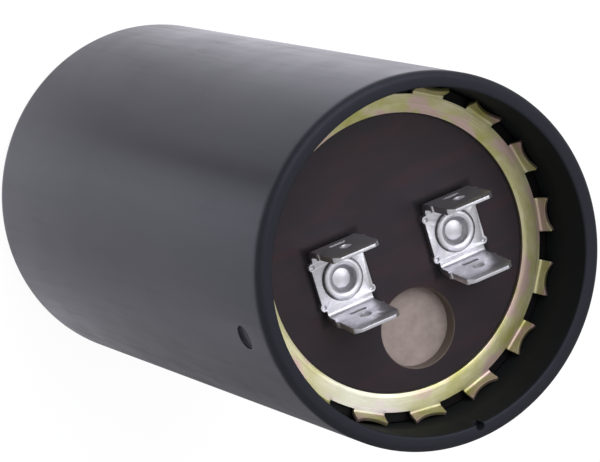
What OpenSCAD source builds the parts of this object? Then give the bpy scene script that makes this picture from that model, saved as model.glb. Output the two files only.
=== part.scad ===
// Motor-start electrolytic capacitor. A moulded phenolic cup holds a foil and paper winding.
// A rubber seal and a laminate wafer close it, and a toothed push-on ring holds them down.
// Two riveted terminals stand on the wafer, each with a pair of push-on blades.
// Millimetres. The origin is the centre of the closed base, +Z runs up the axis to the mouth,
// and +X runs from the left terminal to the right one.

/* [Case] */
// Outside diameter of the case
case_d = 46.04; // [44:0.02:60]
// Height of the case from its base to its rim
case_h = 85.7; // [70:0.1:120]
// Wall of the case round the winding
case_wall = 2.9; // [2.5:0.05:3.6]
// Wall of the case round the recess at the mouth
mouth_wall = 1.96; // [1.6:0.02:2.2]
// Thickness of the closed base
base_t = 2.6; // [2:0.1:5]
// Fillet round the outside of the base
base_fillet = 2.6; // [0.5:0.1:4]
// Fillet between the floor and the wall inside
floor_fillet = 1.5; // [0.5:0.1:1.6]
// Fillet round the outside of the rim
rim_fillet = 0.85; // [0.2:0.05:1.2]
// Chamfer round the inside of the rim
rim_chamfer = 0.3; // [0.1:0.05:0.6]
// Distance from the rim down to the flat of the retaining ring
ring_depth = 9.14; // [8.6:0.02:14]

/* [Slot and notch in the case] */
// Length of the slot through the wall near the mouth
slot_l = 3.8; // [2:0.1:5]
// Width of the slot
slot_w = 1.3; // [0.8:0.1:2]
// Distance from the rim down to the middle of the slot
slot_depth = 7.4; // [4:0.1:7.6]
// Direction of the slot round the axis, from +X
slot_turn = -176; // [-180:1:180]
// Slope of the slot against the rim
slot_slope = 33; // [0:1:60]
// Diameter of the notch in the rim
notch_d = 1.3; // [0.6:0.1:1.4]
// Depth of the notch in the rim
notch_depth = 1.8; // [0.5:0.1:3]
// Direction of the notch round the axis, from +X
notch_turn = -90; // [-180:1:180]

/* [Wafer and seal] */
// Thickness of the wafer
wafer_t = 2; // [1.4:0.1:3]
// Thickness of the rubber seal
seal_t = 1.6; // [1:0.1:3]
// Clearance of the wafer and the seal in the mouth
wafer_clear = 0.12; // [0.05:0.01:0.3]
// Diameter of the vent hole in the wafer
vent_d = 10; // [4:0.1:11]
// Distance from the axis to the vent hole, on the -Y side
vent_offset = 9.9; // [8:0.1:11]

/* [Retaining ring] */
// Width of the flat of the ring, from its bore to the bends of the teeth
ring_flat_w = 2.3; // [1.2:0.1:2.8]
// Width of the crown of teeth, from their bends to the wall of the mouth
ring_crown_w = 1.5; // [1.4:0.02:2.2]
// Thickness of the ring's sheet
ring_t = 0.5; // [0.3:0.05:0.7]
// Number of teeth
tooth_count = 16; // [8:1:18]
// Width of a tooth
tooth_w = 4.25; // [3:0.05:5]
// Angle of a tooth above the flat
tooth_angle = 64; // [45:1:70]
// Inside radius of the bend of a tooth
tooth_bend_r = 0.25; // [0.1:0.05:0.4]
// Depth of the scallop in the edge of a tooth
scallop_depth = 0.6; // [0.2:0.1:0.9]
// Width of the flat left at each point beside the scallop
point_w = 0.25; // [0.05:0.05:0.4]
// Clearance between the points of the teeth and the case
tooth_clear = 0.03; // [0.02:0.01:0.1]
// Direction of the first tooth round the axis, from +X
tooth_turn = 15.35; // [0:0.05:22.5]

/* [Terminals] */
// Distance between the two rivets
rivet_pitch = 16.1; // [14:0.1:18]
// Thickness of the terminal's sheet
blade_t = 0.8; // [0.5:0.1:0.9]
// Width of a blade
blade_w = 6.35; // [5:0.05:6.4]
// Height of a blade above the wafer
blade_h = 7.9; // [6.5:0.1:8.5]
// Distance between the facing sides of the two blades, at their bends
blade_gap = 7.8; // [7.4:0.1:8.6]
// Lean of the blades beside the vent, away from the middle of the plate
near_lean = 5; // [0:0.5:6]
// Lean of the blades on the far side, away from the middle of the plate
far_lean = 0; // [0:0.5:6]
// Inside radius of the bends
blade_bend_r = 0.5; // [0.3:0.1:0.7]
// Chamfer on the corners of a blade
blade_corner = 0.8; // [0.2:0.1:1.4]
// Length of the bevel at the tip of a blade
bevel_l = 0.9; // [0.4:0.1:1.4]
// Depth of the bevel on each side of the tip
bevel_t = 0.2; // [0.1:0.05:0.2]
// Diameter of the detent hole in a blade
detent_d = 1.5; // [1:0.1:1.8]
// Height of the detent hole above the wafer
detent_h = 4.6; // [4.4:0.1:5]
// Length of the window above a bend
window_l = 2.2; // [1:0.1:3]
// Height of the window
window_t = 0.7; // [0.4:0.1:0.9]
// Height of the middle of the window above the wafer
window_h = 2.6; // [2:0.1:2.8]
// Radius of the stop nibs on the edges of a blade
nib_r = 0.45; // [0.3:0.05:0.6]
// Height of the stop nibs above the wafer
nib_h = 3.1; // [2.6:0.1:4.5]
// How far a stop nib stands out of the edge
nib_out = 0.25; // [0.1:0.05:0.3]
// Width of the plate between the two blades
plate_w = 7.2; // [6.8:0.1:8]
// Length of the plate between the relief notches
plate_l = 6.2; // [6:0.1:6.6]
// Radius of the ears on the corners of the plate
ear_r = 0.5; // [0.4:0.05:0.7]
// Diameter of the punch mark in an ear
mark_d = 0.55; // [0.3:0.05:0.7]
// Depth of the punch mark in an ear
mark_depth = 0.35; // [0.1:0.05:0.4]

/* [Rivets] */
// Diameter of a rivet's shank
rivet_d = 3.8; // [3:0.1:4.2]
// Diameter of the rolled head on the plate
roll_d = 5.5; // [5.2:0.1:6]
// Radius of the roll
roll_r = 0.6; // [0.5:0.01:0.7]
// Height of the rolled head above the plate
roll_h = 0.54; // [0.5:0.01:0.6]
// Diameter of the floor of the hollow
hollow_d = 2.4; // [1.6:0.1:2.6]
// Depth of the floor of the hollow below the plate's top
hollow_depth = 0.35; // [0.1:0.05:1]
// Rise of the floor of the hollow in the middle
floor_rise = 0.15; // [0.05:0.01:0.25]
// Diameter of the flat head inside the case
head_d = 6.8; // [5.5:0.1:8]
// Thickness of the flat head inside the case
head_t = 1; // [0.6:0.1:1.5]
// Clearance of a shank in its holes
rivet_clear = 0.1; // [0.05:0.01:0.2]
// Diameter of the washers under the seal
washer_d = 8.4; // [7:0.1:10]
// Thickness of the washers
washer_t = 0.8; // [0.4:0.1:1.5]

/* [Winding] */
// Gap between the case and the wrapped winding
winding_gap = 1.7; // [1.6:0.1:4]
// Diameter of the hole that the mandrel leaves
core_d = 5; // [3:0.5:8]
// Number of turns that show on an end of the winding
turn_count = 14; // [6:1:20]
// How far the paper stands past the foil at the ends
paper_margin = 0.8; // [0.3:0.1:2]
// Thickness of the outer wrap
wrap_t = 0.4; // [0.3:0.05:1]
// Clearance between the layers round the winding
wrap_clear = 0.04; // [0.02:0.01:0.1]
// Thickness of the closing tape
tape_t = 0.2; // [0.1:0.05:0.4]
// Height of the closing tape
tape_h = 19; // [10:1:40]
// Thickness of the pad under the winding
pad_t = 1; // [0.5:0.1:3]
// Clearance of the pad inside the floor's fillet
pad_clear = 0.1; // [0.05:0.01:0.1]
// Height of the space for the folded tabs, from the winding to the rivet heads
tab_space = 5; // [4:0.1:10]
// Width of a tab
tab_w = 6; // [4:0.5:8]
// Thickness of a tab
tab_t = 0.3; // [0.2:0.05:0.4]
// Length of a tab's runs on each side of its rivet
tab_reach = 4; // [3.6:0.1:5]

/* [Hidden] */
$fn = 96;
cut = 1;
left = -1;
right = 1;
case_r = case_d / 2;
bore_r = case_r - case_wall;
mouth_r = case_r - mouth_wall;
ring_z = case_h - ring_depth - ring_t;
wafer_z = ring_z - wafer_t;
seat_z = wafer_z - seal_t;
ring_bend_r = mouth_r - ring_crown_w;
ring_in_r = ring_bend_r - ring_flat_w;
wafer_r = mouth_r - wafer_clear;
plate_z = ring_z;
plate_top = plate_z + blade_t;
shank_hole_r = rivet_d / 2 + rivet_clear;
rivet_x = rivet_pitch / 2;
washer_z = seat_z - washer_t;
tab_z = washer_z - tab_t;
head_z = tab_z - head_t;
winding_z = base_t + pad_t;
winding_top = head_z - tab_space;
winding_h = winding_top - winding_z;
wrap_r = bore_r - winding_gap - tape_t - wrap_clear;
winding_r = wrap_r - wrap_t - wrap_clear;
pad_r = bore_r - floor_fillet - pad_clear;
turn_pitch = (winding_r - core_d / 2) / turn_count;

// Half section of a turned block, from the axis outwards, with its outer corners rounded
module turned_section(r, h, low, top) {
    square([r - low, h - top]);
    translate([0, low]) square([r - top, h - low]);
    translate([0, low]) square([r, h - low - top]);
    translate([r - low, low]) circle(low);
    translate([r - top, h - top]) circle(top);
}

// Section of a cup's bore, rounded at its floor and open upwards
module bore_section(r, h, low) {
    square([r - low, h]);
    translate([0, low]) square([r, h - low]);
    translate([r - low, low]) circle(low);
}

// Flat disc with the two rivet holes
module pierced_disc(r, t) {
    difference() {
        cylinder(h = t, r = r);
        for (side = [left, right])
            translate([side * rivet_x, 0, -cut]) cylinder(h = t + 2 * cut, r = shank_hole_r);
    }
}

module tube(r_out, r_in, h) {
    difference() {
        cylinder(h = h, r = r_out);
        translate([0, 0, -cut]) cylinder(h = h + 2 * cut, r = r_in);
    }
}

// Slot with round ends, along the X axis
module oblong(l, w) {
    square([l - w, w], center = true);
    for (side = [left, right])
        translate([side * (l - w) / 2, 0]) circle(w / 2);
}

module case_slot() {
    rotate([0, 0, slot_turn])
        translate([mouth_r - cut, 0, case_h - slot_depth])
            rotate([90, 0, 90])
                rotate([0, 0, slot_slope])
                    linear_extrude(mouth_wall + 2 * cut) oblong(slot_l, slot_w);
}

module rim_notch() {
    rotate([0, 0, notch_turn])
        translate([mouth_r + rim_chamfer, 0, case_h - notch_depth])
            cylinder(h = notch_depth + cut, d = notch_d, $fn = 32);
}

// Phenolic cup with a shoulder that carries the seal
module case() {
    color("#45464c")
        difference() {
            rotate_extrude()
                difference() {
                    turned_section(case_r, case_h, base_fillet, rim_fillet);
                    translate([0, base_t]) bore_section(bore_r, case_h, floor_fillet);
                    translate([0, seat_z]) square([mouth_r, case_h]);
                    translate([mouth_r, case_h]) rotate(45)
                        square(rim_chamfer * sqrt(2), center = true);
                }
            case_slot();
            rim_notch();
        }
}

module bottom_pad() {
    color("#b59a6c")
        translate([0, 0, base_t]) cylinder(h = pad_t, r = pad_r);
}

// Foil and paper roll: the paper edges stand past the foil at both ends
module winding() {
    color("#cfc4a6")
        translate([0, 0, winding_z])
            rotate_extrude() {
                translate([core_d / 2, paper_margin])
                    square([winding_r - core_d / 2, winding_h - 2 * paper_margin]);
                for (turn = [0 : turn_count - 1])
                    translate([winding_r - (turn + 0.5) * turn_pitch, 0])
                        square([turn_pitch / 2, winding_h]);
            }
}

module winding_wrap() {
    color("#c9b184")
        translate([0, 0, winding_z]) tube(wrap_r, wrap_r - wrap_t, winding_h);
}

module closing_tape() {
    color("#d8c36a")
        translate([0, 0, winding_z + (winding_h - tape_h) / 2])
            tube(wrap_r + wrap_clear + tape_t, wrap_r + wrap_clear, tape_h);
}

// Section of half a ring of sheet, bulging towards +X
module sheet_fold(r, t) {
    intersection() {
        difference() {
            circle(r + t / 2);
            circle(r - t / 2);
        }
        translate([0, -r - t]) square([r + t, 2 * (r + t)]);
    }
}

// Foil tab, pierced by its rivet and folded in an S down to the winding
module tab(side) {
    fold_r = (tab_space + head_t) / 4;
    eye_z = tab_z + tab_t / 2;
    color("#d6d8da")
        difference() {
            translate([side * rivet_x, 0, 0]) rotate([90, 0, 0])
                linear_extrude(tab_w, center = true)
                    scale([side, 1]) {
                        for (run = [0 : 2])
                            translate([-tab_reach, eye_z - 2 * run * fold_r - tab_t / 2])
                                square([2 * tab_reach, tab_t]);
                        translate([tab_reach, eye_z - fold_r]) sheet_fold(fold_r, tab_t);
                        translate([-tab_reach, eye_z - 3 * fold_r]) rotate(180)
                            sheet_fold(fold_r, tab_t);
                    }
            translate([side * rivet_x, 0, head_z]) cylinder(h = head_t + 2 * tab_t, r = shank_hole_r);
        }
}

module washer(side) {
    color("#c3c5c8")
        translate([side * rivet_x, 0, washer_z]) tube(washer_d / 2, shank_hole_r, washer_t);
}

// Semi-tubular rivet: flat head inside, rolled head on the terminal
module rivet(side) {
    roll_centre = roll_d / 2 - roll_r;
    color("#d0d1d6")
        translate([side * rivet_x, 0, 0]) {
            translate([0, 0, head_z]) cylinder(h = head_t, d = head_d);
            difference() {
                union() {
                    translate([0, 0, head_z]) cylinder(h = plate_top - head_z, d = rivet_d);
                    translate([0, 0, plate_top])
                        rotate_extrude()
                            intersection() {
                                union() {
                                    translate([roll_centre, roll_h - roll_r]) circle(roll_r);
                                    square([roll_centre, roll_h]);
                                }
                                square([roll_d, roll_h]);
                            }
                }
                translate([0, 0, plate_top - hollow_depth])
                    cylinder(h = hollow_depth + roll_h, d1 = hollow_d, r2 = roll_centre - roll_r / 2);
            }
            translate([0, 0, plate_top - hollow_depth])
                cylinder(h = floor_rise, d1 = hollow_d, d2 = hollow_d / 2);
        }
}

module seal_disc() {
    color("#9b8c80")
        translate([0, 0, seat_z]) pierced_disc(wafer_r, seal_t);
}

module wafer() {
    color("#3d3536")
        difference() {
            translate([0, 0, wafer_z]) pierced_disc(wafer_r, wafer_t);
            translate([0, -vent_offset, wafer_z - cut]) cylinder(h = wafer_t + 2 * cut, d = vent_d);
        }
}

// One tooth of the ring, at angle 0: a bend, then a slanting leaf with two points
module tooth() {
    lean = tooth_angle - 90;
    outer_r = tooth_bend_r + ring_t;
    point_x = sqrt(pow(mouth_r - tooth_clear, 2) - pow(tooth_w / 2, 2));
    leaf_l = (point_x - ring_bend_r - outer_r * cos(lean)) / -sin(lean);
    half_chord = tooth_w / 2 - point_w;
    scallop_r = (pow(half_chord, 2) + pow(scallop_depth, 2)) / (2 * scallop_depth);
    translate([ring_bend_r - 2 * ring_t, -tooth_w / 2, 0]) cube([2 * ring_t, tooth_w, ring_t]);
    translate([ring_bend_r, tooth_w / 2, ring_t + tooth_bend_r]) rotate([90, 0, 0]) {
        rotate(-90) rotate_extrude(angle = tooth_angle)
            translate([tooth_bend_r, 0]) square([ring_t, tooth_w]);
        rotate(lean) translate([tooth_bend_r, 0, 0])
            difference() {
                cube([ring_t, leaf_l, tooth_w]);
                translate([-cut, leaf_l - scallop_depth + scallop_r, tooth_w / 2]) rotate([0, 90, 0])
                    cylinder(h = ring_t + 2 * cut, r = scallop_r);
            }
    }
}

// Push-on ring of spring sheet: a flat washer with a crown of teeth that grip the case
module retaining_ring() {
    color("#a7a266")
        translate([0, 0, ring_z]) {
            tube(ring_bend_r, ring_in_r, ring_t);
            for (i = [0 : tooth_count - 1])
                rotate([0, 0, tooth_turn + i * 360 / tooth_count]) tooth();
        }
}

// Side view of a blade with its bend and its foot, which runs from the middle of the strip
module blade_section(l, lean) {
    outer_r = blade_bend_r + blade_t;
    reach = 2 * outer_r;
    foot_l = blade_gap / 2 - blade_bend_r;
    translate([-foot_l, -outer_r]) square([foot_l, blade_t]);
    intersection() {
        difference() {
            circle(outer_r);
            circle(blade_bend_r);
        }
        polygon([[0, 0], [0, -reach], [reach, -reach], [reach * cos(lean), reach * sin(lean)]]);
    }
    rotate(lean)
        polygon([[blade_bend_r, 0], [outer_r, 0], [outer_r, l - bevel_l], [outer_r - bevel_t, l],
            [blade_bend_r + bevel_t, l], [blade_bend_r, l - bevel_l]]);
}

// Blade on the +Y side of a plate, with a positive lean towards the middle of the plate
module blade(lean) {
    foot_h = blade_t + blade_bend_r;
    l = blade_h - foot_h;
    hole_l = blade_t + 2 * cut;
    corner_cut = (2 * cut + blade_corner) * sqrt(2);
    translate([-blade_w / 2, blade_gap / 2 - blade_bend_r, foot_h]) rotate([90, 0, 90]) {
        difference() {
            linear_extrude(blade_w) blade_section(l, lean);
            rotate(lean) translate([blade_bend_r - cut, 0, 0]) {
                translate([0, detent_h - foot_h, blade_w / 2]) rotate([0, 90, 0])
                    cylinder(h = hole_l, d = detent_d, $fn = 48);
                translate([0, window_h - foot_h - window_t / 2, (blade_w - window_l) / 2])
                    cube([hole_l, window_t, window_l]);
                for (edge = [-cut, blade_w + cut])
                    translate([hole_l / 2, l + cut, edge]) rotate([45, 0, 0])
                        cube([hole_l, corner_cut, corner_cut], center = true);
            }
        }
        rotate(lean)
            for (edge = [nib_r - nib_out, blade_w - nib_r + nib_out])
                translate([blade_bend_r, nib_h - foot_h, edge]) rotate([0, 90, 0])
                    cylinder(h = blade_t, r = nib_r, $fn = 32);
    }
}

// Double push-on terminal: one strip with both ends bent up, riveted through its plate
module terminal(side) {
    ear_x = plate_w / 2 - ear_r / 2;
    ear_y = plate_l / 2 - ear_r;
    color("#cfd0d6")
        translate([side * rivet_x, 0, plate_z])
            difference() {
                union() {
                    linear_extrude(blade_t) {
                        square([plate_w, plate_l], center = true);
                        for (x = [-ear_x, ear_x], y = [-ear_y, ear_y])
                            translate([x, y]) circle(ear_r, $fn = 32);
                    }
                    blade(-far_lean);
                    mirror([0, 1, 0]) blade(-near_lean);
                }
                translate([0, 0, -cut]) cylinder(h = blade_t + 2 * cut, r = shank_hole_r);
                for (x = [-ear_x, ear_x], y = [-ear_y, ear_y])
                    translate([x, y, blade_t - mark_depth])
                        cylinder(h = mark_depth + cut, d = mark_d, $fn = 24);
            }
}

case();
bottom_pad();
winding();
winding_wrap();
closing_tape();
tab(left);  // tab_left
tab(right);  // tab_right
washer(left);  // washer_left
washer(right);  // washer_right
rivet(left);  // rivet_left
rivet(right);  // rivet_right
seal_disc();
wafer();
retaining_ring();
terminal(left);  // terminal_left
terminal(right);  // terminal_right
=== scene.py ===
"""Looks of a motor-start electrolytic capacitor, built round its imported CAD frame.

The capacitor stands on its closed base, with its open mouth and its terminals upwards.
Everything is in metres and in the row frame of the CAD part.
"""

import math

import bmesh
import bpy
from bpy.props import FloatProperty, FloatVectorProperty, IntProperty, PointerProperty
from mathutils import Matrix, Vector


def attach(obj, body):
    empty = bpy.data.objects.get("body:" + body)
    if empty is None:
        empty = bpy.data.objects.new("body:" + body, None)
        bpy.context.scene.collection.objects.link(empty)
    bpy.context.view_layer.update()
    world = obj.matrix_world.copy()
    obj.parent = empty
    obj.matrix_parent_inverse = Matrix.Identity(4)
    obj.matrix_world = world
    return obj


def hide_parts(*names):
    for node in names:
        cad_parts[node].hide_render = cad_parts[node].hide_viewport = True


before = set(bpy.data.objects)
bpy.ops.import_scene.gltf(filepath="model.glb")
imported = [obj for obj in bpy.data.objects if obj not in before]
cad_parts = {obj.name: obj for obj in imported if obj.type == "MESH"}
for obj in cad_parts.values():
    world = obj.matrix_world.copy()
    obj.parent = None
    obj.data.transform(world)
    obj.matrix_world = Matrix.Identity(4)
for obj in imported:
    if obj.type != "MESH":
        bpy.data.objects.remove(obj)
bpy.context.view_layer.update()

bl_info = {
    "name": "Motor-start capacitor",
    "version": (1, 0, 0),
    "blender": (4, 5, 0),
    "location": "3D View > Sidebar > Capacitor",
    "description": "Builds the case, the toothed ring, the terminals and the studio of a capacitor",
    "category": "Object",
}

MM = 0.001
BODY = "root"
SIDES = {"left": -1, "right": 1}

# Distances below which two points are one, in a new mesh and in a CAD mesh
SAME = 1e-7
CAD_SAME = 1e-6

# Facets round a full circle
FACETS = {"case": 256, "wafer": 192, "vent": 96, "rivet": 96, "recess": 64, "small hole": 48}

# Tints of the case's highlights, outside and in the bore
COOL = (0.78, 0.8, 1, 1)
MOSSY = (0.9, 1, 0.85, 1)

# Colours of the light from all round and of the lamps
SKY = (0.97, 0.98, 1, 1)
LAMPS = (0.95, 0.96, 1)

# Tones of the floor in reflections, by direction from the axis in degrees
FLOOR_TONES = (
    (-180, 0.59), (-150, 0.5), (-118, 0.27), (-90, 0.2), (-50, 0.27), (0, 0.63),
    (40, 1.0), (62, 0.89), (85, 0.66), (118, 0.57), (148, 0.8), (180, 0.59),
)


def number(name, value, about, **settings):
    return FloatProperty(name=name, description=about, default=value, **settings)


def length(name, mm, about):
    return number(name, mm * MM, about, min=0, precision=5, subtype="DISTANCE", unit="LENGTH")


def metres(name, value, about):
    return number(name, value, about, min=0, subtype="DISTANCE", unit="LENGTH")


def turn(name, degrees, about):
    return number(name, math.radians(degrees), about, subtype="ANGLE", unit="ROTATION")


def share(name, value, about):
    return number(name, value, about, min=0, max=1, subtype="FACTOR")


def triple(name, x, y, z, about, **settings):
    return FloatVectorProperty(name=name, description=about, default=(x, y, z), size=3, **settings)


def tint(name, red, green, blue, about):
    return triple(name, red, green, blue, about, min=0, max=1, subtype="COLOR")


def location(name, x, y, z, about):
    return triple(name, x, y, z, about, subtype="TRANSLATION", unit="LENGTH")


def direction(name, x, y, z, about):
    return triple(name, x, y, z, about, subtype="DIRECTION")


class CaseSizes(bpy.types.PropertyGroup):
    """Sizes and colour of the moulded case"""

    radius: length("Radius", 23.02, "Outside radius of the case")
    height: length("Height", 85.7, "Height of the case")
    base: length("Base", 2.6, "Thickness of the closed base")
    base_fillet: length("Base fillet", 2.6, "Fillet round the outside of the base")
    floor_fillet: length("Floor fillet", 1.5, "Fillet between the floor and the wall")
    bore: length("Bore", 20.12, "Inside radius round the winding")
    mouth: length("Mouth", 21.06, "Inside radius of the recess at the mouth")
    seat: length("Seat", 72.46, "Height of the shoulder under the seal")
    rim_fillet: length("Rim fillet", 0.85, "Fillet round the outside of the rim")
    rim_break: length("Rim break", 0.3, "Rounding of the inner edge of the rim")
    recess_radius: length("Recess radius", 1.55, "Radius of the round recess in the wall")
    recess_depth: length("Recess depth", 0.4, "Depth of the recess")
    recess_drop: length("Recess drop", 7.4, "Distance from the rim to the recess")
    recess_turn: turn("Recess direction", -176, "Direction of the recess round the axis")
    notch_radius: length("Notch radius", 0.55, "Radius of the notch in the rim")
    notch_depth: length("Notch depth", 1.8, "Depth of the notch in the rim")
    notch_turn: turn("Notch direction", -90, "Direction of the notch round the axis")
    bore_shallow: length("Shallow", 5, "Depth in the mouth above which the wall is less matt")
    bore_deep: length("Deep", 9, "Depth in the mouth below which the wall is most matt")
    colour: tint("Phenolic", 0.005, 0.0055, 0.007, "Colour of the moulded phenolic")
    shine: share("Shine", 0.6, "Specular level of the outside")
    bore_shine: share("Bore shine", 0.2, "Specular level of the inside of the mouth")
    rim_shine: share("Rim shine", 0.42, "Specular level of the rim")


class WaferSizes(bpy.types.PropertyGroup):
    """Sizes and colours of the wafer and the seal"""

    radius: length("Radius", 20.94, "Radius of the wafer")
    underside: length("Underside", 74.06, "Height of the wafer's underside")
    top: length("Top", 76.06, "Height of the wafer's top")
    vent_radius: length("Vent radius", 5.0, "Radius of the vent hole")
    vent_offset: length("Vent offset", 9.9, "Distance from the axis to the vent hole")
    rivet_hole: length("Rivet hole", 2.0, "Radius of the holes for the rivets")
    edge_break: length("Edge break", 0.12, "Rounding of the wafer's edges")
    colour: tint("Laminate", 0.028, 0.022, 0.027, "Colour of the laminate")
    cut_colour: tint("Cut edge", 0.15, 0.118, 0.098, "Colour of the laminate's cut edges")
    seal_colour: tint("Rubber", 0.385, 0.312, 0.285, "Colour of the rubber seal")


class RingSizes(bpy.types.PropertyGroup):
    """Sizes and colours of the toothed ring"""

    underside: length("Underside", 76.06, "Height of the ring's underside")
    inner: length("Inner radius", 17.26, "Inner radius of the ring's flat")
    bend: length("Bend radius", 19.56, "Radius at which the teeth leave the flat")
    sheet: length("Sheet", 0.5, "Thickness of the ring's sheet")
    tooth_width: length("Tooth width", 4.25, "Width of a tooth")
    point_reach: length("Point reach", 21.03, "Radius that the points of the teeth reach")
    fold_radius: length("Fold radius", 0.4, "Inside radius of a tooth's bend")
    scallop: length("Scallop", 0.6, "Depth of the scallop in a tooth's edge")
    point_width: length("Point width", 0.25, "Flat left at each point")
    edge_break: length("Edge break", 0.05, "Rounding of the sheet's edges")
    tooth_angle: turn("Tooth angle", 64, "Angle of a tooth above the flat")
    cone: turn("Cone", 5, "Rise of the flat towards its teeth, as the ring is pressed in")
    first_tooth: turn("First tooth", 15.35, "Direction of the first tooth")
    teeth: IntProperty(name="Teeth", description="Number of teeth", default=16, min=3)
    olive: tint("Olive", 0.45, 0.43, 0.12, "Main colour of the passivated zinc")
    straw: tint("Straw", 0.70, 0.65, 0.42, "Pale colour of the passivated zinc")
    blush: tint("Blush", 0.66, 0.45, 0.45, "Pink tint of the passivated zinc")
    # Pale and its direction paint a highlight on the ring's flat
    pale: tint("Pale", 0.9, 0.89, 0.85, "Colour of the painted highlight on the flat")
    pale_turn: turn("Pale direction", -122, "Direction of the painted highlight on the flat")


class TerminalSizes(bpy.types.PropertyGroup):
    """Sizes and colours of the terminals and rivets"""

    pitch: length("Rivet pitch", 16.1, "Distance between the two rivets")
    plate_width: length("Plate width", 7.2, "Width of the plates")
    plate_length: length("Plate length", 9.6, "Distance between the outsides of the blades")
    plate_top: length("Plate top", 76.86, "Height of the top of the plates")
    edge_break: length("Edge break", 0.07, "Rounding of the sheet's edges")
    rivet_foot: length("Rivet foot", 70.36, "Height of the rivet's flat head")
    head_radius: length("Head radius", 3.4, "Radius of the rivet's flat head")
    head_height: length("Head height", 1.0, "Height of the rivet's flat head")
    shank_radius: length("Shank radius", 1.9, "Radius of the rivet's shank")
    roll_radius: length("Roll radius", 0.6, "Radius of the rolled edge")
    roll_centre: length("Roll centre", 2.15, "Radius of the roll's centre line")
    roll_height: length("Roll height", 0.54, "Height of the roll above the plate")
    hollow_radius: length("Hollow radius", 1.2, "Radius of the floor of the hollow")
    hollow_depth: length("Hollow depth", 0.35, "Depth of the hollow in the plate")
    dome: length("Dome", 0.15, "Rise of the hollow's floor")
    tin: tint("Tin", 0.68, 0.67, 0.71, "Colour of the tinned sheet")
    # Painted shade for the rivets' hollows and for the corner under their rolls
    rivet_shade: tint("Rivet shade", 0.40, 0.39, 0.41, "Colour in the rivets' hollows")
    rivet_colour: tint("Rivet", 0.72, 0.71, 0.75, "Colour of the rivets")


class InsideColours(bpy.types.PropertyGroup):
    """Colours of what the case holds"""

    board: tint("Board", 0.46, 0.33, 0.18, "Colour of the insulating board")
    winding: tint("Winding", 0.62, 0.55, 0.38, "Colour of the soaked paper")
    foil: tint("Foil", 0.60, 0.61, 0.62, "Colour of the foil between the paper turns")
    wrap: tint("Wrap", 0.58, 0.44, 0.23, "Colour of the kraft wrap")
    tape: tint("Tape", 0.69, 0.54, 0.14, "Colour of the closing tape")
    tab: tint("Tab", 0.68, 0.69, 0.70, "Colour of the foil tabs")
    washer: tint("Washer", 0.55, 0.56, 0.58, "Colour of the washers")


class StudioSizes(bpy.types.PropertyGroup):
    """Camera, floor and light"""

    camera_place: location("Camera place", -0.1750, 0.1214, 0.4783, "Where the camera stands")
    camera_back: direction("Camera back", -0.3647, 0.2541, 0.8958, "From the object to the camera")
    camera_up: direction("Camera up", 0.3608, 0.9255, -0.1157, "Towards the top of the picture")
    lens: number("Lens", 224.2, "Focal length", subtype="DISTANCE_CAMERA", unit="CAMERA")
    sky: share("Sky", 0.45, "Strength of the light from all round")
    horizon: share("Horizon", 0.642, "Share of the white background in reflections from low down")
    overhead: share("Overhead", 0.231, "Share of the white background in reflections from above")
    sky_low: share("Sky low", 0.15, "Sine of the elevation at which that share starts to fall")
    sky_high: share("Sky high", 0.75, "Sine of the elevation at which it stops falling")
    floor_size: metres("Floor", 6.0, "Width of the floor")
    floor_glow: number("Floor glow", 1.1, "Light of the white floor itself")
    floor_seen: share("Floor seen", 0.85, "Share of that glow in what the camera sees")
    floor_mirrored: number("Floor mirrored", 1.15, "Brightness of the floor in reflections")
    floor_tint: tint("Floor tint", 0.93, 0.915, 1.0, "Colour of the floor in reflections")
    streak: share("Streak", 0.44, "Depth of the dark streak in the floor's reflections")
    streak_turn: turn("Streak direction", 127, "Direction of the streak from the axis")
    streak_width: turn("Streak width", 10, "Angle from the middle of the streak to its edge")
    streak_start: length("Streak start", 25, "Distance from the axis at which the streak starts")
    streak_full: length("Streak full", 56, "Distance at which the streak has its full depth")
    near_end: length("Near end", 48, "Distance at which the floor's tones start to rise")
    far_start: length("Far start", 64, "Distance at which the floor's tones stop rising")
    far_lift: number("Far lift", 1.15, "Brightness of the far floor against the near one")
    target: location("Target", 0, 0, 0.07, "What the lamps point at")
    key_place: location("Key place", 0.22, 0.62, 0.95, "Where the large soft lamp hangs")
    key_size: metres("Key size", 1.0, "Width of the large soft lamp")
    key_power: number("Key power", 9.5, "Power of the large soft lamp", unit="POWER")
    mouth_place: location("Mouth place", 0.50, -0.02, 0.95, "Where the small lamp hangs")
    mouth_size: metres("Mouth size", 0.3, "Width of the small lamp over the mouth")
    mouth_power: number("Mouth power", 0.65, "Power of the small lamp", unit="POWER")


GROUPS = {
    "capacitor_case": CaseSizes,
    "capacitor_wafer": WaferSizes,
    "capacitor_ring": RingSizes,
    "capacitor_terminals": TerminalSizes,
    "capacitor_inside": InsideColours,
    "capacitor_studio": StudioSizes,
}


# Mesh helpers


def add_object(name, mesh):
    made = bpy.data.objects.new(name, mesh)
    bpy.context.scene.collection.objects.link(made)
    return made


def mesh_from(name, vertices, faces):
    mesh = bpy.data.meshes.new(name)
    mesh.from_pydata(vertices, [], faces)
    mesh.update()
    return mesh


def arc(centre_r, centre_z, radius, start, end, steps):
    """Points of an arc in a half section, from start to end in degrees."""
    points = []
    for i in range(steps + 1):
        angle = math.radians(start + (end - start) * i / steps)
        points.append(
            (centre_r + radius * math.cos(angle), centre_z + radius * math.sin(angle))
        )
    return points


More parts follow.
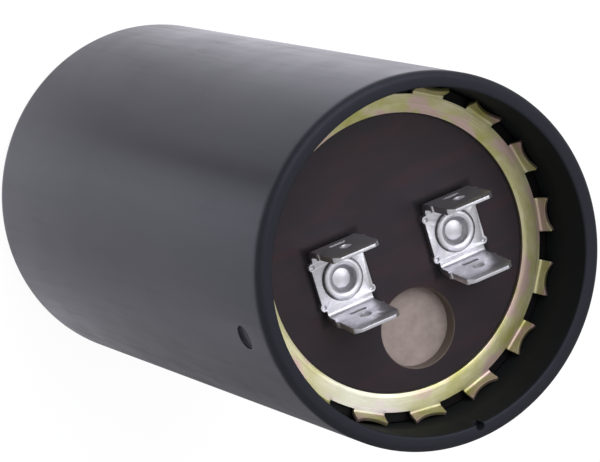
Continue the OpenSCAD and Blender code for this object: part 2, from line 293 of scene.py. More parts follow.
def turned(name, section, segments):
    """A solid turned round Z from a half section. Points on the axis become poles."""
    vertices, rings = [], []
    for radius, height in section:
        if radius < SAME:
            rings.append([len(vertices)])
            vertices.append((0, 0, height))
            continue
        rings.append(list(range(len(vertices), len(vertices) + segments)))
        for i in range(segments):
            angle = math.tau * i / segments
            vertices.append((radius * math.cos(angle), radius * math.sin(angle), height))
    faces = []
    for low, high in zip(rings, rings[1:]):
        for i in range(segments):
            j = (i + 1) % segments
            corners = [low[i % len(low)], low[j % len(low)]]
            corners += [high[j % len(high)], high[i % len(high)]]
            face = list(dict.fromkeys(corners))
            if len(face) > 2:
                faces.append(face)
    return mesh_from(name, vertices, faces)


def outward(mesh):
    """Merges doubles and turns the faces outwards."""
    work = bmesh.new()
    work.from_mesh(mesh)
    bmesh.ops.remove_doubles(work, verts=work.verts, dist=SAME)
    bmesh.ops.recalc_face_normals(work, faces=work.faces)
    work.to_mesh(mesh)
    work.free()
    return mesh


def bake_modifiers(piece):
    """Replaces the piece's mesh by the result of its modifiers."""
    graph = bpy.context.evaluated_depsgraph_get()
    result = bpy.data.meshes.new_from_object(piece.evaluated_get(graph))
    old = piece.data
    piece.modifiers.clear()
    piece.data = result
    result.name = piece.name
    bpy.data.meshes.remove(old)
    return piece


def cut_away(piece, cutters):
    """Takes the cutter meshes out of the piece."""
    for mesh in cutters:
        cutter = add_object("cutter", outward(mesh))
        step = piece.modifiers.new("cut", "BOOLEAN")
        step.operation = "DIFFERENCE"
        step.solver = "EXACT"
        step.object = cutter
        bake_modifiers(piece)
        bpy.data.objects.remove(cutter)
    return piece


def soften(piece, width, angle=40):
    """Rounds the edges of the piece that are over the given angle in degrees."""
    bevel = piece.modifiers.new("edges", "BEVEL")
    bevel.width = width
    bevel.segments = 2
    bevel.limit_method = "ANGLE"
    bevel.angle_limit = math.radians(angle)
    bevel.use_clamp_overlap = True
    return bake_modifiers(piece)


def shade(piece, angle=35):
    """Shades the piece smooth, with edges over the given angle in degrees sharp."""
    piece.data.shade_smooth()
    piece.data.set_sharp_from_angle(angle=math.radians(angle))
    return piece


def softened_copy(node, name, width):
    """A copy of a CAD node with its flats joined and its edges rounded."""
    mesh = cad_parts[node].data.copy()
    mesh.name = name
    mesh.materials.clear()
    work = bmesh.new()
    work.from_mesh(mesh)
    bmesh.ops.remove_doubles(work, verts=work.verts, dist=CAD_SAME)
    flat = math.radians(0.5)
    bmesh.ops.dissolve_limit(work, angle_limit=flat, verts=work.verts, edges=work.edges)
    work.to_mesh(mesh)
    work.free()
    return soften(add_object(name, mesh), width)


def finish_piece(piece, material, slot, *nodes):
    """Gives the piece its material and its body, and hides the CAD nodes that it stands for. The
    slot is not used.
    """
    piece.data.materials.clear()
    piece.data.materials.append(material)
    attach(piece, BODY)
    if nodes:
        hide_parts(*nodes)


def dress_node(node, material):
    """Gives a CAD node its material."""
    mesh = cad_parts[node].data
    mesh.materials.clear()
    mesh.materials.append(material)


# Node helpers


class Nodes:
    """Short ways to add nodes to a node tree."""

    def __init__(self, tree):
        self.tree = tree

    def node(self, kind, inputs=(), **settings):
        made = self.tree.nodes.new(kind)
        for key, value in settings.items():
            setattr(made, key, value)
        for key, value in dict(inputs).items():
            if isinstance(value, bpy.types.NodeSocket):
                self.tree.links.new(value, made.inputs[key])
            else:
                made.inputs[key].default_value = value
        return made

    def maths(self, operation, *values):
        made = self.node("ShaderNodeMath", dict(enumerate(values)), operation=operation)
        return made.outputs[0]

    def spread(self, value, low, high, to_low=0.0, to_high=1.0):
        inputs = {"Value": value, "From Min": low, "From Max": high}
        inputs.update({"To Min": to_low, "To Max": to_high})
        return self.node("ShaderNodeMapRange", inputs).outputs["Result"]

    def rays(self):
        """One for camera rays, and one for glossy and transmission rays."""
        path = self.node("ShaderNodeLightPath").outputs
        mirrored = self.maths("ADD", path["Is Glossy Ray"], path["Is Transmission Ray"])
        return path["Is Camera Ray"], mirrored

    def mix_surfaces(self, part, first, second):
        inputs = {0: part, 1: first.outputs[0], 2: second.outputs[0]}
        return self.node("ShaderNodeMixShader", inputs).outputs[0]


class Finish(Nodes):
    """A material with a Principled surface and textures on Object coordinates."""

    def __init__(self, name, roughness, metallic=0.0, **sockets):
        self.material = bpy.data.materials.new(name)
        self.material.use_nodes = True
        super().__init__(self.material.node_tree)
        self.surface = self.tree.nodes["Principled BSDF"]
        self.surface.inputs["Roughness"].default_value = roughness
        self.surface.inputs["Metallic"].default_value = metallic
        for socket, value in sockets.items():
            self.surface.inputs[socket.replace("_", " ")].default_value = value
        self.place = self.node("ShaderNodeTexCoord").outputs["Object"]

    def stretched(self, scale, turned_by=(0, 0, 0), place=None):
        inputs = {"Vector": place or self.place, "Scale": scale, "Rotation": turned_by}
        return self.node("ShaderNodeMapping", inputs).outputs["Vector"]

    def noise(self, grain, detail, rough, place=None):
        """Noise whose features are about grain metres wide."""
        inputs = {"Vector": place or self.place, "Scale": 1 / grain}
        inputs.update({"Detail": detail, "Roughness": rough})
        return self.node("ShaderNodeTexNoise", inputs).outputs["Fac"]

    def ramp(self, value, *stops):
        made = self.node("ShaderNodeValToRGB", {"Fac": value})
        points = made.color_ramp.elements
        while len(points) < len(stops):
            points.new(0.5)
        for point, (position, colour) in zip(points, stops):
            point.position = position
            point.color = (*colour, 1)
        return made.outputs["Color"]

    def blend(self, share_of_second, first, second):
        colours = [value if isinstance(value, bpy.types.NodeSocket) else (*value, 1)
                   for value in (first, second)]
        inputs = {0: share_of_second, 6: colours[0], 7: colours[1]}
        return self.node("ShaderNodeMix", inputs, data_type="RGBA").outputs[2]

    def bump(self, height, depth, strength, under=None):
        """Relief of the given depth in metres."""
        inputs = {"Height": height, "Distance": depth, "Strength": strength}
        if under is not None:
            inputs["Normal"] = under
        return self.node("ShaderNodeBump", inputs).outputs["Normal"]

    def axes(self):
        split = self.node("ShaderNodeSeparateXYZ", {"Vector": self.place})
        return split.outputs["X"], split.outputs["Y"], split.outputs["Z"]

    def distance(self, x, y):
        squares = self.maths("ADD", self.maths("MULTIPLY", x, x), self.maths("MULTIPLY", y, y))
        return self.maths("SQRT", squares)

    def polar(self):
        """Angle round Z in radians, distance from the axis and height in metres."""
        x, y, z = self.axes()
        return self.maths("ARCTAN2", y, x), self.distance(x, y), z

    def put(self, **sources):
        for socket, source in sources.items():
            self.tree.links.new(source, self.surface.inputs[socket.replace("_", " ")])
        return self.material


def scaled(colour, factor):
    return tuple(min(1.0, part * factor) for part in colour)


def phenolic(case, name, shine, tinge):
    """Black moulded phenolic, mottled and rubbed, less glossy on the rim and in the bore."""
    finish = Finish(name, 0.22, Specular_IOR_Level=shine, Specular_Tint=tinge)
    colour = tuple(case.colour)
    mottle = finish.noise(6 * MM, 5, 0.55)
    grain = finish.noise(0.35 * MM, 3, 0.6)
    rubs = finish.noise(1.2 * MM, 4, 0.6, finish.stretched((1, 1, 0.06)))
    base = finish.ramp(mottle, (0.3, scaled(colour, 0.8)), (0.72, scaled(colour, 1.25)))
    rough = finish.maths("ADD", finish.spread(mottle, 0.3, 0.7, 0.19, 0.25),
                         finish.spread(rubs, 0.45, 0.75, 0.0, 0.06))
    _, radius, height = finish.polar()
    trimmed = case.height - 2 * case.rim_fillet
    rim = finish.spread(height, trimmed, case.height - case.rim_fillet, 0, 0.34)
    deep, shallow = case.height - case.bore_deep, case.height - case.bore_shallow
    wall = finish.spread(radius, case.mouth + case.rim_break, case.mouth + 0.2 * case.rim_break)
    bore = finish.maths("MULTIPLY", wall, finish.spread(height, deep, shallow, 0.78, 0.46))
    skin, under = case.radius - 0.1 * MM, case.radius - 0.25 * MM
    recess = finish.spread(radius, under, skin, 0.2, 0)
    matt = finish.maths("MAXIMUM", finish.maths("MAXIMUM", rim, bore), recess)
    rough = finish.maths("ADD", rough, matt)
    relief = finish.bump(mottle, 0.03 * MM, 0.35)
    relief = finish.bump(grain, 0.004 * MM, 0.5, relief)
    return finish.put(Base_Color=base, Roughness=rough, Normal=relief)


def laminate(wafer, sizes, ring):
    """Brown-black paper laminate, streaked with red, with painted shade round what lies on it and
    at its rim.
    """
    colour = tuple(wafer.colour)
    finish = Finish("laminate", 0.42, Specular_IOR_Level=0.2)
    streaks = finish.noise(1.6 * MM, 5, 0.6, finish.stretched((0.16, 1, 1), (0, 0, 0.3)))
    clouds = finish.noise(7 * MM, 3, 0.5)
    fibres = finish.noise(0.25 * MM, 4, 0.65, finish.stretched((0.25, 1, 1), (0, 0, 0.3)))
    red = (colour[0] * 1.75, colour[1] * 1.1, colour[2] * 1.05)
    base = finish.ramp(streaks, (0.42, colour), (0.78, red))
    base = finish.blend(finish.spread(clouds, 0.35, 0.75, 0, 0.5), base, scaled(colour, 0.72))
    x, y, _ = finish.axes()
    from_vent = finish.distance(x, finish.maths("ADD", y, wafer.vent_offset))
    hole = finish.spread(from_vent, wafer.vent_radius + 0.5 * wafer.edge_break,
                         wafer.vent_radius + wafer.edge_break, 1, 0)
    base = finish.blend(hole, base, tuple(wafer.cut_colour))
    radius = finish.distance(x, y)
    # Painted shade: the wafer's outer band, under and between the ring's teeth, darkens towards its
    # rim.
    edge = finish.spread(radius, wafer.radius - 1.9 * MM, wafer.radius - 1.2 * MM, 0, 0.9)
    base = finish.blend(edge, base, scaled(colour, 0.1))
    # Painted shade round each plate and just inside the ring's flat, standing in for their contact
    # shadows.
    across = finish.maths("SUBTRACT", finish.maths("ABSOLUTE", x), sizes.pitch / 2)
    across = finish.maths("ABSOLUTE", across)
    beside = finish.maths("SUBTRACT", across, sizes.plate_width / 2)
    along = finish.maths("ABSOLUTE", y)
    beyond = finish.maths("SUBTRACT", along, sizes.plate_length / 2)
    from_plate = finish.maths("MAXIMUM", beside, beyond)
    ring_edge_shade = finish.spread(radius, ring.inner - 0.36 * MM, ring.inner - 0.06 * MM, 0, 0.7)
    painted_shade = finish.maths(
        "MAXIMUM", finish.spread(from_plate, 0.1 * MM, 0.7 * MM, 0.85, 0), ring_edge_shade
    )
    base = finish.blend(painted_shade, base, scaled(colour, 0.15))
    rough = finish.spread(fibres, 0.3, 0.7, 0.36, 0.5)
    relief = finish.bump(fibres, 0.01 * MM, 0.5)
    return finish.put(Base_Color=base, Roughness=rough, Normal=relief)


def rubber(colour):
    """Tan seal rubber, matt and dusty."""
    finish = Finish("seal_rubber", 0.8, Specular_IOR_Level=0.3)
    dust = finish.noise(1.5 * MM, 5, 0.6)
    specks = finish.noise(0.3 * MM, 3, 0.6)
    base = finish.ramp(dust, (0.3, scaled(colour, 0.86)), (0.7, scaled(colour, 1.12)))
    base = finish.blend(finish.spread(specks, 0.55, 0.75, 0, 0.35), base, scaled(colour, 0.7))
    relief = finish.bump(specks, 0.02 * MM, 0.5)
    return finish.put(Base_Color=base, Normal=relief)


def passivated_zinc(ring):
    """Zinc plated spring sheet with yellow passivation: olive, straw and pink tints, and a painted
    highlight on the flat.
    """
    finish = Finish(
        "zinc_chromate", 0.36, 0.8, Anisotropic=0.3, Coat_Weight=0.5, Coat_Roughness=0.18
    )
    angle, radius, height = finish.polar()
    along = finish.maths("MULTIPLY", angle, ring.bend)
    unrolled = finish.node("ShaderNodeCombineXYZ", {"X": along, "Y": radius, "Z": height})
    unrolled = unrolled.outputs["Vector"]
    patches = finish.noise(4 * MM, 3, 0.55, finish.stretched((0.8, 1.4, 1.4), place=unrolled))
    tints = finish.noise(2.8 * MM, 3, 0.5, finish.stretched((0.6, 1.2, 1.2), place=unrolled))
    lines = finish.noise(0.16 * MM, 3, 0.6, finish.stretched((0.02, 1, 1), place=unrolled))
    base = finish.ramp(patches, (0.34, ring.olive), (0.62, ring.straw))
    points = finish.spread(radius, ring.bend + 0.7 * MM, ring.point_reach, 0, 0.14)
    tints = finish.maths("ADD", tints, points)
    base = finish.blend(finish.spread(tints, 0.5, 0.62, 0, 0.9), base, ring.blush)
    base = finish.blend(finish.spread(lines, 0.3, 0.7, 0, 0.35), base, scaled(ring.olive, 0.7))
    # Painted highlight: the flat turns pale towards the pale direction, standing in for a lamp's
    # highlight.
    facing = finish.maths("COSINE", finish.maths("SUBTRACT", angle, ring.pale_turn))
    painted_highlight = finish.maths("MULTIPLY", finish.spread(facing, 0.91, 0.99, 0, 0.5),
                        finish.spread(radius, ring.bend, ring.bend + 0.3 * MM, 1, 0))
    base = finish.blend(painted_highlight, base, ring.pale)
    rough = finish.spread(lines, 0.3, 0.7, 0.26, 0.38)
    bent = finish.spread(radius, ring.bend - 0.3 * MM, ring.bend + 0.3 * MM, 0, 0.2)
    rough = finish.maths("ADD", rough, bent)
    relief = finish.bump(lines, 0.004 * MM, 0.5)
    tangent = finish.node("ShaderNodeTangent", direction_type="RADIAL", axis="Z")
    return finish.put(
        Base_Color=base, Roughness=rough, Normal=relief, Tangent=tangent.outputs["Tangent"]
    )


def bright_metal(name, colour, roughness, grain, depth):
    """Satin metal with soft dents, fine scuffs and duller patches."""
    finish = Finish(name, roughness, 1.0)
    dents = finish.noise(grain, 3, 0.5)
    scuffs = finish.noise(0.18 * MM, 4, 0.65, finish.stretched((0.5, 1, 1), (0.2, 0.1, 0.6)))
    base = finish.ramp(scuffs, (0.3, scaled(colour, 0.8)), (0.62, colour))
    rough = finish.spread(scuffs, 0.3, 0.7, roughness * 1.35, roughness * 0.8)
    relief = finish.bump(dents, depth, 0.7)
    relief = finish.bump(scuffs, 0.004 * MM, 0.6, relief)
    return finish.put(Base_Color=base, Roughness=rough, Normal=relief)


def rolled_metal(sizes):
    """Bright rivet metal, with painted shade on the wall of the hollow and a painted shadow in the
    corner under the roll.
    """
    finish = Finish("rivet_metal", 0.26, 1.0)
    x, y, _ = finish.axes()
    across = finish.maths("SUBTRACT", finish.maths("ABSOLUTE", x), sizes.pitch / 2)
    radius = finish.distance(across, y)
    scuffs = finish.noise(0.5 * MM, 3, 0.5)
    wobble = finish.spread(scuffs, 0.3, 0.7, -0.06 * MM, 0.06 * MM)
    reach = 3 * MM
    rings = finish.spread(finish.maths("ADD", radius, wobble), 0, reach)
    # Painted shade on the wall of the hollow, and a painted shadow at the foot of the roll.
    hollow_shade = tuple(sizes.rivet_shade)
    bright = tuple(sizes.rivet_colour)
    wall = sizes.hollow_radius / reach
    lip = (sizes.roll_centre - 0.45 * MM) / reach
    base = finish.ramp(rings, (wall - 0.03, bright), (wall + 0.02, hollow_shade), (lip - 0.03, hollow_shade),
                       (lip + 0.03, bright), (0.84, bright), (0.9, scaled(hollow_shade, 0.4)))
    rough = finish.spread(scuffs, 0.3, 0.7, 0.46, 0.34)
    relief = finish.bump(finish.noise(0.9 * MM, 2, 0.5), 0.015 * MM, 0.6)
    return finish.put(Base_Color=base, Roughness=rough, Normal=relief)


def paper(name, colour, stretch):
    """Fibrous paper or board."""
    finish = Finish(name, 0.75, Specular_IOR_Level=0.3)
    fibres = finish.noise(0.8 * MM, 5, 0.7, finish.stretched(stretch))
    clouds = finish.noise(9 * MM, 2, 0.5)
    base = finish.ramp(fibres, (0.3, scaled(colour, 0.8)), (0.7, scaled(colour, 1.1)))
    base = finish.blend(finish.spread(clouds, 0.3, 0.7, 0, 0.3), base, scaled(colour, 0.75))
    relief = finish.bump(fibres, 0.03 * MM, 0.6)
    return finish.put(Base_Color=base, Normal=relief)


def wound_roll(inside):
    """Edges of soaked paper and foil turns on the ends, plain foil and paper elsewhere."""
    finish = Finish("foil_roll", 0.6, Specular_IOR_Level=0.4)
    radius = finish.polar()[1]
    turns = finish.maths("FRACT", finish.maths("DIVIDE", radius, 0.3 * MM))
    waves = finish.noise(3 * MM, 3, 0.5)
    edge = finish.spread(turns, 0.72, 0.8)
    base = finish.blend(edge, tuple(inside.winding), tuple(inside.foil))
    base = finish.blend(finish.spread(waves, 0.3, 0.7, 0, 0.4), base,
                        scaled(inside.winding, 0.65))
    relief = finish.bump(turns, 0.05 * MM, 0.5)
    return finish.put(Base_Color=base, Normal=relief)


# Pieces


def case_section(case):
    """Half section of the cup, from the middle of its base up the outside and down the inside."""
    r, h = case.radius, case.height
    points = [(0, 0), (r - case.base_fillet, 0)]
    points += arc(r - case.base_fillet, case.base_fillet, case.base_fillet, -90, 0, 10)[1:]
    points += [(r, h * 0.35), (r, h * 0.7)]
    points += arc(r - case.rim_fillet, h - case.rim_fillet, case.rim_fillet, 0, 90, 8)
    points += arc(case.mouth + case.rim_break, h - case.rim_break, case.rim_break, 90, 180, 4)
    points += [(case.mouth, case.seat), (case.bore, case.seat)]
    floor = case.base + case.floor_fillet
    points += arc(case.bore - case.floor_fillet, floor, case.floor_fillet, 0, -90, 6)
    points += [(0, case.base)]
    return points


def recess_cutter(case):
    """Cutter for the round recess, eased where it leaves the outside of the wall."""
    edge, corner = 0.12 * MM, 0.2 * MM
    r, out = case.recess_radius, case.radius
    floor = out - case.recess_depth
    section = [(0, floor), (r - corner, floor)]
    section += arc(r - corner, floor + corner, corner, -90, 0, 4)[1:]
    section += [(r, out - edge), (r + edge + MM, out + MM), (0, out + MM)]
    mesh = turned("recess_cutter", section, FACETS["recess"])
    mesh.transform(
        Matrix.Rotation(case.recess_turn, 4, "Z")
        @ Matrix.Translation((0, 0, case.height - case.recess_drop))
        @ Matrix.Rotation(math.pi / 2, 4, "Y")
    )
    return mesh


def drill(radius, x, y, low, high, flare, kind="small hole", through=True):
    """Cutter for a round hole along Z, eased by flare where it leaves the piece."""
    section = [(0, low), (radius, low)]
    if through:
        section = [(0, low - MM), (radius + flare + MM, low - MM), (radius, low + flare)]
    section += [(radius, high - flare), (radius + flare + MM, high + MM), (0, high + MM)]
    mesh = turned("drill", section, FACETS[kind])
    mesh.transform(Matrix.Translation((x, y, 0)))
    return mesh


def make_case(case):
    piece = add_object("moulded_case", outward(
        turned("moulded_case", case_section(case), FACETS["case"])
    ))
    at = case.mouth + case.rim_break
    notch = drill(
        case.notch_radius, at * math.cos(case.notch_turn), at * math.sin(case.notch_turn),
        case.height - case.notch_depth, case.height, 0.05 * MM, through=False,
    )
    cut_away(piece, [recess_cutter(case), notch])
    return shade(piece, angle=32)


def make_wafer(wafer, pitch):
    edge = wafer.edge_break
    r, low, top = wafer.radius, wafer.underside, wafer.top
    section = [(0, low), (r - edge, low), (r, low + edge)]
    section += [(r, top - edge), (r - edge, top), (0, top)]
    piece = add_object("vent_wafer", outward(turned("vent_wafer", section, FACETS["wafer"])))
    cutters = [drill(wafer.vent_radius, 0, -wafer.vent_offset, low, top, edge, "vent")]
    for side in SIDES.values():
        cutters.append(drill(wafer.rivet_hole, side * pitch / 2, 0, low, top, edge))
    cut_away(piece, cutters)
    return shade(piece, angle=32)


def tooth_sector(ring):
    """One tooth and its share of the flat, as a shell that is open towards its neighbours."""
    t, half = ring.sheet, ring.tooth_width / 2
    pitch = math.tau / ring.teeth
    fold = ring.fold_radius + t
    slant = ring.tooth_angle
    reach = math.sqrt(ring.point_reach ** 2 - half ** 2)
    leaf = (reach - ring.bend - fold * math.sin(slant)) / math.cos(slant)
    chord = half - ring.point_width
    scallop = (chord ** 2 + ring.scallop ** 2) / (2 * ring.scallop)
    flat_steps, fold_steps, leaf_steps, across_steps, gap_steps = 3, 6, 6, 16, 4
    flat_row = (ring.bend - 0.5 * MM - ring.inner) / flat_steps
    inner_rows = [ring.inner + flat_row * i for i in range(flat_steps + 1)]
    across = [-half] + [-chord + 2 * chord * i / across_steps for i in range(across_steps + 1)]
    across.append(half)
    near = inner_rows[-1]
    near_edge = math.asin(half / near)
    gap_step = (pitch / 2 - near_edge) / gap_steps
    gaps = [near_edge + gap_step * i for i in range(1, gap_steps + 1)]
    columns = [("gap", -angle) for angle in gaps[::-1]]
    columns += [("tooth", y) for y in across] + [("gap", angle) for angle in gaps]
    outer_edge = math.asin(half / ring.bend)

    def points(kind, place, side):
        """Points of one column on the underside, side 0, or on the top, side 1."""
        up = t * side
        found = []
        angle = place if kind == "gap" else math.asin(place / near)
        for r in inner_rows:
            found.append((r * math.cos(angle), r * math.sin(angle), up))
        if kind == "gap":
            share_out = (abs(angle) - near_edge) / (pitch / 2 - near_edge)
            wide = outer_edge + share_out * (pitch / 2 - outer_edge)
            wide = math.copysign(wide, angle)
            found.append((ring.bend * math.cos(wide), ring.bend * math.sin(wide), up))
            return found
        found.append((math.sqrt(ring.bend ** 2 - half ** 2), place, up))
        radius = fold - up
        for i in range(fold_steps + 1):
            a = slant * i / fold_steps
            found.append((ring.bend + radius * math.sin(a), place, fold - radius * math.cos(a)))
        end = leaf
        if abs(place) < chord:
            end = leaf - ring.scallop + scallop - math.sqrt(scallop ** 2 - place ** 2)
        x, _, z = found[-1]
        for i in range(1, leaf_steps + 1):
            along = end * i / leaf_steps
            found.append((x + along * math.cos(slant), place, z + along * math.sin(slant)))
        return found

    vertices, index = [], {}
    for side in (0, 1):
        for c, (kind, place) in enumerate(columns):
            for row, point in enumerate(points(kind, place, side)):
                index[side, c, row] = len(vertices)
                flat_r = min(math.hypot(point[0], point[1]), ring.bend)
                lift = (flat_r - ring.inner) * math.tan(ring.cone)
                vertices.append((point[0], point[1], point[2] + ring.underside + lift))
    rows = [len(points(kind, place, 0)) for kind, place in columns]
    faces = []
    for c in range(len(columns) - 1):
        shared = min(rows[c], rows[c + 1])
        for row in range(shared - 1):
            for side in (0, 1):
                quad = [index[side, c, row], index[side, c + 1, row],
                        index[side, c + 1, row + 1], index[side, c, row + 1]]
                faces.append(quad if side else quad[::-1])
        faces.append([index[0, c, 0], index[0, c + 1, 0], index[1, c + 1, 0], index[1, c, 0]])
        last = shared - 1
        faces.append([index[1, c, last], index[1, c + 1, last],
                      index[0, c + 1, last], index[0, c, last]])
        if rows[c] != rows[c + 1]:
            tall = c if rows[c] > rows[c + 1] else c + 1
            for row in range(shared - 1, rows[tall] - 1):
                faces.append([index[0, tall, row], index[0, tall, row + 1],
                              index[1, tall, row + 1], index[1, tall, row]])
    return mesh_from("ring_tooth", vertices, faces)


def crown_tree():
    """Geometry Nodes that set a tooth round the axis and join the teeth to one ring."""
    tree = bpy.data.node_groups.new("crown_of_teeth", "GeometryNodeTree")
    sockets = {}
    for name, kind in (("Geometry", "Geometry"), ("Teeth", "Int"), ("First tooth", "Float"),
                       ("Finish", "Material")):
        made = tree.interface.new_socket(name, in_out="INPUT", socket_type="NodeSocket" + kind)
        sockets[name] = made.identifier
    tree.interface.new_socket("Geometry", in_out="OUTPUT", socket_type="NodeSocketGeometry")
    crown = Nodes(tree)
    given = crown.node("NodeGroupInput").outputs
    step = crown.maths("DIVIDE", math.tau, given["Teeth"])
    count = crown.node("GeometryNodeInputIndex").outputs["Index"]
    angle = crown.maths("MULTIPLY_ADD", count, step, given["First tooth"])
    spin = crown.node("ShaderNodeCombineXYZ", {"Z": angle}).outputs["Vector"]
    places = crown.node("GeometryNodeMeshLine", {"Count": given["Teeth"], "Offset": (0, 0, 0)})
    placed = crown.node("GeometryNodeInstanceOnPoints", {
        "Points": places.outputs["Mesh"], "Instance": given["Geometry"], "Rotation": spin,
    })
    real = crown.node("GeometryNodeRealizeInstances", {"Geometry": placed.outputs["Instances"]})
    joined = crown.node("GeometryNodeMergeByDistance", {
        "Geometry": real.outputs["Geometry"], "Distance": 0.002 * MM,
    })
    dressed = crown.node("GeometryNodeSetMaterial", {
        "Geometry": joined.outputs["Geometry"], "Material": given["Finish"],
    })
    crown.node("NodeGroupOutput", {"Geometry": dressed.outputs["Geometry"]})
    return tree, sockets


def make_ring(ring, material):
    piece = add_object("toothed_ring", tooth_sector(ring))
    tree, sockets = crown_tree()
    crown = piece.modifiers.new("crown", "NODES")
    crown.node_group = tree
    crown[sockets["Teeth"]] = ring.teeth
    crown[sockets["First tooth"]] = ring.first_tooth
    crown[sockets["Finish"]] = material
    bake_modifiers(piece)
    outward(piece.data)
    soften(piece, ring.edge_break, angle=55)
    return shade(piece, angle=40)


def make_rivet(name, sizes, side):
    top = sizes.plate_top
    head = sizes.rivet_foot + sizes.head_height
    roll_z = top + sizes.roll_height - sizes.roll_radius
    edge = 0.15 * MM
    section = [(0, sizes.rivet_foot), (sizes.head_radius - edge, sizes.rivet_foot)]
    section += [(sizes.head_radius, sizes.rivet_foot + edge), (sizes.head_radius, head - edge)]
    section += [(sizes.head_radius - edge, head), (sizes.shank_radius, head)]
    section += [(sizes.shank_radius, top)]
    low = -math.degrees(math.asin((roll_z - top) / sizes.roll_radius))
    roll_end, roll_steps, wall_steps, floor_steps = 150, 16, 6, 5
    section += arc(sizes.roll_centre, roll_z, sizes.roll_radius, low, roll_end, roll_steps)
    wall_r, wall_z = section[-1]
    floor_z = top - sizes.hollow_depth
    for i in range(1, wall_steps + 1):
        way = i / wall_steps
        ease = way * way * (3 - 2 * way)
        section.append((wall_r + (sizes.hollow_radius - wall_r) * ease,
                        wall_z + (floor_z - wall_z) * way))
    for i in range(1, floor_steps + 1):
        r = sizes.hollow_radius * (1 - i / floor_steps)
        share_in = r / sizes.hollow_radius
        section.append((r, floor_z + sizes.dome * (1 - share_in ** 2)))
    mesh = outward(turned(name, section, FACETS["rivet"]))
    mesh.transform(Matrix.Translation((side * sizes.pitch / 2, 0, 0)))
    return shade(add_object(name, mesh), angle=50)


# Studio


def studio_floor(studio):
    """White floor that keeps the shadow. Reflections show it in tones, as under soft boxes."""
    half = studio.floor_size / 2
    mesh = mesh_from("floor", [(-half, -half, 0), (half, -half, 0), (half, half, 0),
                               (-half, half, 0)], [[0, 1, 2, 3]])
    floor = add_object("floor", mesh)
    finish = Finish("studio_floor", 0.9, Specular_IOR_Level=0, Base_Color=(0.8, 0.8, 0.8, 1))
    x, y, _ = finish.axes()
    angle = finish.maths("ARCTAN2", y, x)
    way = finish.spread(angle, -math.pi, math.pi)
    stops = [((degrees + 180) / 360, (tone, tone, tone)) for degrees, tone in FLOOR_TONES]
    mirror = finish.maths("MULTIPLY", finish.ramp(way, *stops), studio.floor_mirrored)
    beside = finish.maths("ABSOLUTE", finish.maths("SUBTRACT", angle, studio.streak_turn))
    away = finish.distance(x, y)
    streak = finish.maths("MULTIPLY", finish.spread(beside, 0, studio.streak_width, 1, 0),
                          finish.spread(away, studio.streak_start, studio.streak_full,
                                        0, studio.streak))
    mirror = finish.maths("MULTIPLY", mirror, finish.maths("SUBTRACT", 1, streak))
    lift = finish.spread(away, studio.near_end, studio.far_start, 1, studio.far_lift)
    mirror = finish.maths("MULTIPLY", mirror, lift)
    seen, mirrored = finish.rays()
    strength = finish.maths("ADD", finish.maths("MULTIPLY", seen, studio.floor_glow),
                            finish.maths("MULTIPLY", mirrored, mirror))
    part = finish.maths("ADD", finish.maths("MULTIPLY", seen, studio.floor_seen), mirrored)
    colour = finish.blend(seen, tuple(studio.floor_tint), (1, 1, 1))
    glow = finish.node("ShaderNodeEmission", {"Color": colour, "Strength": strength})
    finish.tree.links.new(finish.mix_surfaces(part, finish.surface, glow),
                          finish.tree.nodes["Material Output"].inputs["Surface"])
    floor.data.materials.append(finish.material)


def studio_world(studio):
    """Light from all round. The camera sees white, reflections a share of it that falls upwards."""
    world = bpy.data.worlds.new("studio")
    bpy.context.scene.world = world
    world.use_nodes = True
    sky = Nodes(world.node_tree)
    sky.tree.nodes.clear()
    light = sky.node("ShaderNodeBackground", {"Color": SKY, "Strength": studio.sky})
    white = sky.node("ShaderNodeBackground", {"Color": (1, 1, 1, 1), "Strength": 1.0})
    way = sky.node("ShaderNodeTexCoord").outputs["Generated"]
    height = sky.node("ShaderNodeSeparateXYZ", {0: way}).outputs["Z"]
    shown = sky.spread(
        height, studio.sky_low, studio.sky_high, studio.horizon, studio.overhead
    )
    seen, mirrored = sky.rays()
    part = sky.maths("MULTIPLY_ADD", mirrored, shown, seen)
    sky.node("ShaderNodeOutputWorld", {"Surface": sky.mix_surfaces(part, light, white)})


def aimed(place, target):
    """Matrix of a lamp at place that looks at target."""
    back = (Vector(place) - Vector(target)).normalized()
    right = Vector((0, 0, 1)).cross(back).normalized()
    return axes_matrix(right, back.cross(right), back, place)


def axes_matrix(right, up, back, place):
    turned_to = Matrix((right, up, back)).transposed().to_4x4()
    return Matrix.Translation(place) @ turned_to


def add_lamp(name, place, target, size, power):
    lamp = bpy.data.lights.new(name, "AREA")
    lamp.shape = "SQUARE"
    lamp.size = size
    lamp.energy = power
    lamp.color = LAMPS
    holder = add_object(name, lamp)
    holder.matrix_world = aimed(place, target)


def add_camera(studio):
    camera = bpy.data.cameras.new("camera")
    camera.sensor_fit = "HORIZONTAL"
    camera.sensor_width = 36
    camera.lens = studio.lens
    camera.clip_start = 0.01
    holder = add_object("camera", camera)
    back = Vector(studio.camera_back).normalized()
    right = Vector(studio.camera_up).cross(back).normalized()
    holder.matrix_world = axes_matrix(right, back.cross(right), back, studio.camera_place)
    bpy.context.scene.camera = holder


# Operators


class CAPACITOR_OT_stage(bpy.types.Operator):
    """Set up the floor, the light and the camera"""

    bl_idname = "capacitor.stage"
    bl_label = "Studio"

    def execute(self, context):
        studio = context.scene.capacitor_studio
        studio_floor(studio)
        studio_world(studio)
        add_lamp("key", studio.key_place, studio.target, studio.key_size, studio.key_power)
        add_lamp("mouth", studio.mouth_place, studio.target, studio.mouth_size, studio.mouth_power)
        add_camera(studio)
        context.scene.view_settings.view_transform = "Standard"
        return {"FINISHED"}


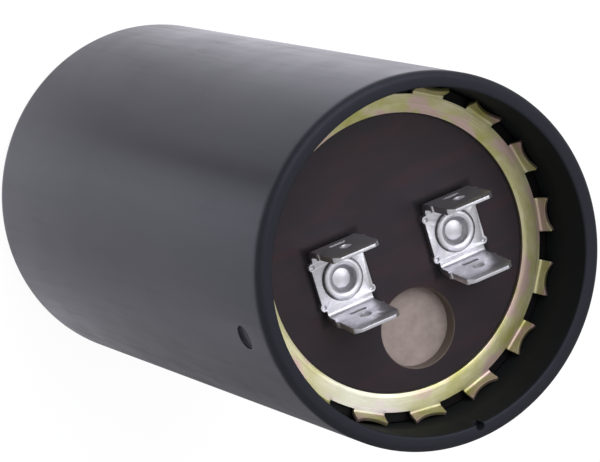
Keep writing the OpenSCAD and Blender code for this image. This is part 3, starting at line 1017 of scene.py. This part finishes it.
class CAPACITOR_OT_case(bpy.types.Operator):
    """Mould the case with its recess and its notch"""

    bl_idname = "capacitor.case"
    bl_label = "Case"

    def execute(self, context):
        case = context.scene.capacitor_case
        piece = make_case(case)
        outside = phenolic(case, "phenolic", case.shine, COOL)
        finish_piece(piece, outside, "phenolic", "case")
        piece.data.materials.append(phenolic(case, "phenolic_bore", case.bore_shine, MOSSY))
        piece.data.materials.append(phenolic(case, "phenolic_rim", case.rim_shine, COOL))
        for face in piece.data.polygons:
            if face.center.xy.length < case.mouth and face.center.z > case.seat:
                face.material_index = 1
            elif face.center.z > case.height - case.rim_fillet:
                face.material_index = 2
        return {"FINISHED"}


class CAPACITOR_OT_wafer(bpy.types.Operator):
    """Punch the wafer and colour the seal under it"""

    bl_idname = "capacitor.wafer"
    bl_label = "Wafer and seal"

    def execute(self, context):
        wafer = context.scene.capacitor_wafer
        sizes = context.scene.capacitor_terminals
        finish = laminate(wafer, sizes, context.scene.capacitor_ring)
        finish_piece(make_wafer(wafer, sizes.pitch), finish, "laminate", "wafer")
        dress_node("seal_disc", rubber(wafer.seal_colour))
        return {"FINISHED"}


class CAPACITOR_OT_ring(bpy.types.Operator):
    """Form the toothed ring"""

    bl_idname = "capacitor.ring"
    bl_label = "Toothed ring"

    def execute(self, context):
        ring = context.scene.capacitor_ring
        material = passivated_zinc(ring)
        finish_piece(make_ring(ring, material), material, "zinc_chromate", "retaining_ring")
        return {"FINISHED"}


class CAPACITOR_OT_terminals(bpy.types.Operator):
    """Round the edges of the terminals and close the rivets"""

    bl_idname = "capacitor.terminals"
    bl_label = "Terminals and rivets"

    def execute(self, context):
        sizes = context.scene.capacitor_terminals
        tin = bright_metal("tinned_sheet", sizes.tin, 0.38, 1.3 * MM, 0.05 * MM)
        rivet = rolled_metal(sizes)
        for name, side in SIDES.items():
            node = "terminal_" + name
            piece = softened_copy(node, "push_on_" + node, sizes.edge_break)
            finish_piece(shade(piece), tin, "tinned_sheet", node)
            node = "rivet_" + name
            piece = make_rivet("rolled_" + node, sizes, side)
            finish_piece(piece, rivet, "rivet_metal", node)
        return {"FINISHED"}


class CAPACITOR_OT_inside(bpy.types.Operator):
    """Colour the winding and what joins it to the rivets"""

    bl_idname = "capacitor.inside"
    bl_label = "Inside"

    def execute(self, context):
        inside = context.scene.capacitor_inside
        dress_node("winding", wound_roll(inside))
        dress_node("winding_wrap", paper("kraft_wrap", inside.wrap, (1, 1, 0.3)))
        dress_node("bottom_pad", paper("board", inside.board, (1, 0.5, 1)))
        dress_node("closing_tape", paper("tape", inside.tape, (1, 1, 0.1)))
        tab = bright_metal("tab_foil", inside.tab, 0.35, 1.5 * MM, 0.04 * MM)
        washer = bright_metal("washer_metal", inside.washer, 0.4, 1.0 * MM, 0.02 * MM)
        for name in SIDES:
            dress_node("tab_" + name, tab)
            dress_node("washer_" + name, washer)
        return {"FINISHED"}


class CAPACITOR_PT_parts(bpy.types.Panel):
    """Lists the capacitor's operators and sizes"""

    bl_label = "Capacitor"
    bl_space_type = "VIEW_3D"
    bl_region_type = "UI"
    bl_category = "Capacitor"

    def draw(self, context):
        column = self.layout.column()
        for operator in OPERATORS:
            column.operator(operator.bl_idname)
        for name in GROUPS:
            group = getattr(context.scene, name)
            box = self.layout.box()
            for key in group.__annotations__:
                box.prop(group, key)


OPERATORS = (
    CAPACITOR_OT_stage,
    CAPACITOR_OT_case,
    CAPACITOR_OT_wafer,
    CAPACITOR_OT_ring,
    CAPACITOR_OT_terminals,
    CAPACITOR_OT_inside,
)
CLASSES = (*GROUPS.values(), *OPERATORS, CAPACITOR_PT_parts)


def register():
    for cls in CLASSES:
        bpy.utils.register_class(cls)
    for name, group in GROUPS.items():
        setattr(bpy.types.Scene, name, PointerProperty(type=group))


def unregister():
    for name in GROUPS:
        delattr(bpy.types.Scene, name)
    for cls in reversed(CLASSES):
        bpy.utils.unregister_class(cls)


def main():
    register()
    bpy.ops.capacitor.stage()
    bpy.ops.capacitor.case()
    bpy.ops.capacitor.wafer()
    bpy.ops.capacitor.ring()
    bpy.ops.capacitor.terminals()
    bpy.ops.capacitor.inside()


if __name__ == "__main__":
    main()
